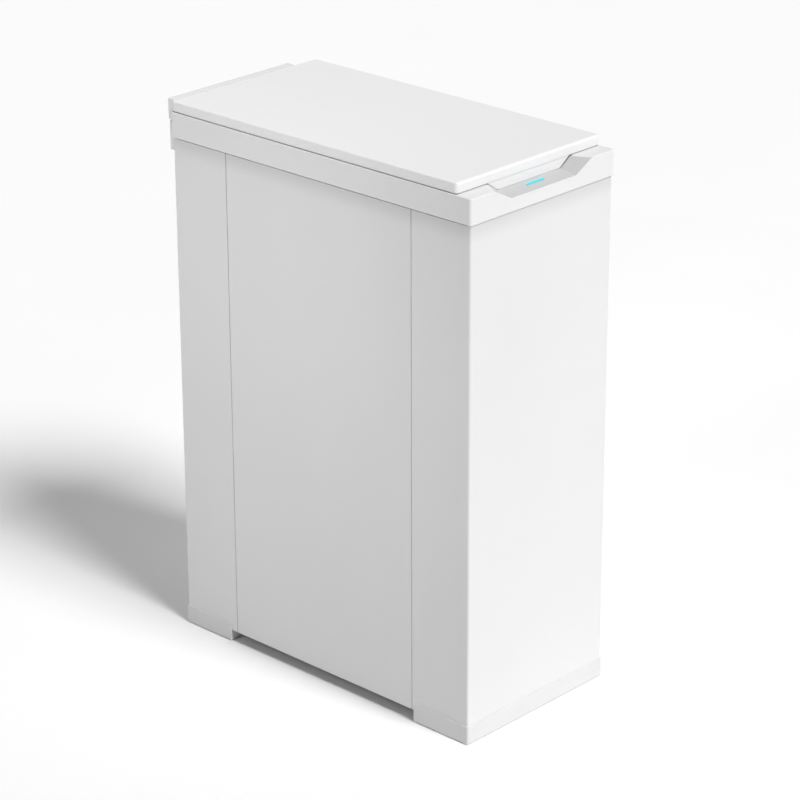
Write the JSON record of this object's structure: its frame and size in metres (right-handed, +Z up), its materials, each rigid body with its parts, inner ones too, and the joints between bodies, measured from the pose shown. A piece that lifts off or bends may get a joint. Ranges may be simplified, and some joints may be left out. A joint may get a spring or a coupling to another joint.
{
  "type": "trash compactor",
  "caption": "Slim floor-standing trash compactor: boxy white housing, lift-out bin, rear-hinged lid with a finger recess, and a motorised double-knee press under the lid.",
  "frame": {"origin": "on the floor, under the middle of the whole length, with the hinge at the back counted", "axes": "+Z up, front (finger recess) towards -Y, hinge towards +Y, the narrow side along X"},
  "size_m": [0.2444, 0.4866, 0.6852],
  "materials": {
    "white_plastic": "satin",
    "grey_plastic": "satin",
    "dark_plastic": "matte",
    "rubber": "matte",
    "sheet_metal": "satin",
    "steel": "brushed",
    "brass": "satin",
    "circuit_board": "satin",
    "light_lens": "gloss",
    "charcoal": "matte"
  },
  "bodies": {
    "housing": {"front_shell": "white_plastic", "rear_shell": "white_plastic", "left_side_panel": "white_plastic", "right_side_panel": "white_plastic", "front_foot": "white_plastic", "rear_foot": "white_plastic", "front_left_foot_pad": "rubber", "front_right_foot_pad": "rubber", "rear_left_foot_pad": "rubber", "rear_right_foot_pad": "rubber", "base_pan": "sheet_metal", "left_frame_panel": "sheet_metal", "right_frame_panel": "sheet_metal", "front_frame_panel": "sheet_metal", "rear_bulkhead": "sheet_metal", "collar": "white_plastic", "grip_pocket": "white_plastic", "status_light": "light_lens", "bin": "grey_plastic", "bag_ring": "white_plastic", "power_inlet": "dark_plastic", "switch_frame": "dark_plastic", "power_supply": "sheet_metal", "charcoal_filter": "charcoal", "control_board": "circuit_board", "lock_solenoid": "sheet_metal", "body_hinge_plate": "white_plastic", "hinge_pin": "steel"},
    "lid": {"lid_cover": "white_plastic", "lid_liner": "white_plastic", "lid_grip_lip": "white_plastic", "lid_gasket": "rubber", "lid_hinge_plate": "white_plastic", "lock_striker": "steel", "press_head": "sheet_metal", "left_bearing_plate": "sheet_metal", "right_bearing_plate": "sheet_metal", "gearbox": "dark_plastic", "press_motor": "steel"},
    "front_upper": {"front_upper_arm": "sheet_metal", "front_arm_shaft": "steel", "front_arm_gear": "brass", "front_knee_pin": "steel"},
    "front_lower": {"front_lower_arm": "sheet_metal"},
    "rear_upper": {"rear_upper_arm": "sheet_metal", "rear_arm_shaft": "steel", "rear_arm_gear": "brass", "rear_knee_pin": "steel"},
    "rear_lower": {"rear_lower_arm": "sheet_metal"},
    "press": {"press_plate": "sheet_metal", "plate_bracket": "sheet_metal", "front_plate_pin": "steel", "rear_plate_pin": "steel"},
    "pinion": {"motor_pinion": "brass"},
    "bolt": {"lock_bolt": "steel"},
    "rocker": {"power_switch": "dark_plastic"}
  },
  "joints": [
    {"name": "lid_hinge", "type": "hinge", "parent": "housing", "child": "lid", "pos_m": [0, 0.2388, 0.6573], "axis": [-1, 0, 0], "range_deg": [0, 80]},
    {"name": "press_drive", "type": "hinge", "parent": "lid", "child": "front_upper", "pos_m": [0, -0.0495, 0.648], "axis": [1, 0, 0], "range_deg": [0, 67]},
    {"name": "rear_upper_pivot", "type": "hinge", "parent": "lid", "child": "rear_upper", "pos_m": [0, -0.0195, 0.648], "axis": [1, 0, 0], "range_deg": [-67, 0]},
    {"name": "front_knee", "type": "hinge", "parent": "front_upper", "child": "front_lower", "pos_m": [0, -0.19395, 0.63536], "axis": [1, 0, 0], "range_deg": [-134, 0]},
    {"name": "rear_knee", "type": "hinge", "parent": "rear_upper", "child": "rear_lower", "pos_m": [0, 0.12495, 0.63536], "axis": [1, 0, 0], "range_deg": [0, 134]},
    {"name": "plate_pivot", "type": "hinge", "parent": "front_lower", "child": "press", "pos_m": [0, -0.0495, 0.62272], "axis": [1, 0, 0], "range_deg": [0, 67]},
    {"name": "pinion_spin", "type": "hinge", "parent": "lid", "child": "pinion", "pos_m": [0, -0.0745, 0.648], "axis": [1, 0, 0], "range_deg": [-100.5, 0]},
    {"name": "lock_slide", "type": "slide", "parent": "housing", "child": "bolt", "axis": [0, 1, 0], "range_m": [0, 0.008]},
    {"name": "switch_rock", "type": "hinge", "parent": "housing", "child": "rocker", "pos_m": [-0.02, 0.2332, 0.072], "axis": [1, 0, 0], "range_deg": [0, 14]}
  ],
  "couplings": [
    {"joint": "rear_upper_pivot", "follows": "press_drive", "ratio": -1},
    {"joint": "front_knee", "follows": "press_drive", "ratio": -2},
    {"joint": "rear_knee", "follows": "press_drive", "ratio": 2},
    {"joint": "plate_pivot", "follows": "press_drive", "ratio": 1},
    {"joint": "pinion_spin", "follows": "press_drive", "ratio": -1.5}
  ]
}
